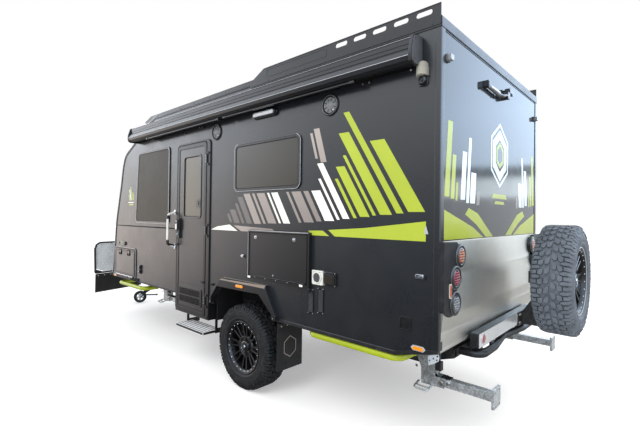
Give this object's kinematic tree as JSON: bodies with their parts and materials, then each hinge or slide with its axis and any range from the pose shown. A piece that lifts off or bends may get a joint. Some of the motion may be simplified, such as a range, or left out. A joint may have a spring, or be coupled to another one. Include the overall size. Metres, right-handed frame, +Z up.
{
  "type": "hybrid caravan",
  "caption": "Single-axle hybrid caravan with sloped nose, side entry door, fold-down table, roof awning, rear spare wheel, stone guard and A-frame drawbar on a jockey wheel.",
  "frame": {"origin": "centre of the bounding box on the floor plane", "axes": "+X forward to the coupling, +Y to the left side with the entry door, +Z up"},
  "size_m": [7.3906, 2.386, 3.095],
  "materials": {
    "black_alloy": "satin",
    "black_frame": "satin",
    "black_plastic": "matte",
    "bright_steel": "satin",
    "charcoal_panel": "satin",
    "chassis_black": "satin",
    "chequer_plate": "brushed",
    "floor_board": "matte",
    "galvanised": "spangled matte",
    "gas_grey": "gloss",
    "grey_awning": "satin",
    "lamp_lens": "gloss",
    "lime_tube": "gloss",
    "mesh_grey": "matte",
    "skirt_rubber": "matte",
    "solar": "polished",
    "tank_plastic": "matte",
    "tyre_rubber": "matte",
    "white_panel": "satin",
    "window_glass": "polished"
  },
  "bodies": {
    "caravan": {"air_conditioner": "white_panel", "arch_flares": "black_plastic", "awning": "grey_awning", "chassis_frame": "chassis_black", "coupling": "chassis_black", "door_frame": "black_frame", "drawbar": "chassis_black", "floor_panel": "floor_board", "front_wall": "charcoal_panel", "gas_cylinders": "gas_grey", "grab_handle": "bright_steel", "hatch_frames": "black_frame", "jockey_tube": "galvanised", "lamps": "lamp_lens", "left_wall": "charcoal_panel", "mud_flaps": "skirt_rubber", "rear_bar": "galvanised", "rear_lamp_panels": "black_plastic", "rear_wall": "charcoal_panel", "right_wall": "charcoal_panel", "roof_panel": "white_panel", "roof_rails": "charcoal_panel", "side_tubes": "lime_tube", "solar_panels": "solar", "spare_tyre": "tyre_rubber", "spare_wheel_carrier": "chassis_black", "spare_wheel_rim": "black_alloy", "springs_and_dampers": "chassis_black", "steady_brackets": "galvanised", "stone_guard_frame": "chassis_black", "stone_guard_mesh": "mesh_grey", "stone_guard_skirt": "skirt_rubber", "toolbox": "chequer_plate", "trailing_arms": "chassis_black", "wall_fittings": "black_plastic", "water_tanks": "tank_plastic", "wheel_arch_liners": "black_plastic", "window_frames": "black_frame", "window_panes": "window_glass"},
    "entry_door": {"entry_door": "charcoal_panel", "entry_door_window": "window_glass"},
    "folding_table": {"folding_table": "white_panel"},
    "left_boot_hatch": {"left_boot_hatch": "charcoal_panel"},
    "right_boot_hatch": {"right_boot_hatch": "charcoal_panel"},
    "toolbox_lid": {"toolbox_lid": "chequer_plate"},
    "roof_hatch_lid": {"roof_hatch_lid": "white_panel"},
    "step_tread": {"step_tread": "chequer_plate"},
    "left_wheel": {"left_wheel_rim": "black_alloy", "left_tyre": "tyre_rubber"},
    "right_wheel": {"right_wheel_rim": "black_alloy", "right_tyre": "tyre_rubber"},
    "jockey_leg": {"jockey_leg": "bright_steel"},
    "jockey_fork": {"jockey_fork": "bright_steel"},
    "jockey_wheel": {"jockey_wheel": "tyre_rubber"},
    "rear_left_steady": {"rear_left_steady": "galvanised"},
    "rear_right_steady": {"rear_right_steady": "galvanised"},
    "front_left_steady": {"front_left_steady": "galvanised"},
    "front_right_steady": {"front_right_steady": "galvanised"}
  },
  "joints": [
    {"name": "entry_door_hinge", "type": "hinge", "parent": "caravan", "child": "entry_door", "pos_m": [-0.51275, 1.072, 1.5], "axis": [0, 0, 1], "range_deg": [0, 160]},
    {"name": "table_hinge", "type": "hinge", "parent": "caravan", "child": "folding_table", "pos_m": [-1.64675, 1.085, 1.119], "axis": [-1, 0, 0], "range_deg": [0, 90]},
    {"name": "left_boot_hatch_hinge", "type": "hinge", "parent": "caravan", "child": "left_boot_hatch", "pos_m": [1.58625, 1.068, 0.8], "axis": [-1, 0, 0], "range_deg": [0, 90]},
    {"name": "right_boot_hatch_hinge", "type": "hinge", "parent": "caravan", "child": "right_boot_hatch", "pos_m": [1.58625, -1.148, 0.8], "axis": [1, 0, 0], "range_deg": [0, 90]},
    {"name": "toolbox_lid_hinge", "type": "hinge", "parent": "caravan", "child": "toolbox_lid", "pos_m": [2.07925, -0.04, 1.196], "axis": [0, -1, 0], "range_deg": [0, 80]},
    {"name": "roof_hatch_hinge", "type": "hinge", "parent": "caravan", "child": "roof_hatch_lid", "pos_m": [-0.50275, -0.04, 2.957], "axis": [0, 1, 0], "range_deg": [0, 70]},
    {"name": "step_slide", "type": "slide", "parent": "caravan", "child": "step_tread", "axis": [0, 1, 0], "range_m": [0, 0.22]},
    {"name": "left_wheel_spin", "type": "hinge", "parent": "caravan", "child": "left_wheel", "pos_m": [-1.11275, 0.9145, 0.402], "axis": [0, 1, 0], "continuous": true},
    {"name": "right_wheel_spin", "type": "hinge", "parent": "caravan", "child": "right_wheel", "pos_m": [-1.11275, -0.9945, 0.402], "axis": [0, 1, 0], "continuous": true},
    {"name": "jockey_leg_slide", "type": "slide", "parent": "caravan", "child": "jockey_leg", "axis": [0, 0, 1], "range_m": [0, 0.16]},
    {"name": "jockey_fork_swivel", "type": "hinge", "parent": "jockey_leg", "child": "jockey_fork", "pos_m": [3.21225, -0.04, 0.264], "axis": [0, 0, 1], "continuous": true},
    {"name": "jockey_wheel_spin", "type": "hinge", "parent": "jockey_fork", "child": "jockey_wheel", "pos_m": [3.31231, 0.08994, 0.11], "axis": [-0.7923, 0.6101, 0], "continuous": true},
    {"name": "rear_left_steady_pivot", "type": "hinge", "parent": "caravan", "child": "rear_left_steady", "pos_m": [-2.99575, 0.717, 0.529], "axis": [0, -1, 0], "range_deg": [0, 90]},
    {"name": "rear_right_steady_pivot", "type": "hinge", "parent": "caravan", "child": "rear_right_steady", "pos_m": [-2.99575, -0.797, 0.529], "axis": [0, -1, 0], "range_deg": [0, 90]},
    {"name": "front_left_steady_pivot", "type": "hinge", "parent": "caravan", "child": "front_left_steady", "pos_m": [0.87725, 0.717, 0.529], "axis": [0, -1, 0], "range_deg": [0, 90]},
    {"name": "front_right_steady_pivot", "type": "hinge", "parent": "caravan", "child": "front_right_steady", "pos_m": [0.87725, -0.797, 0.529], "axis": [0, -1, 0], "range_deg": [0, 90]}
  ]
}
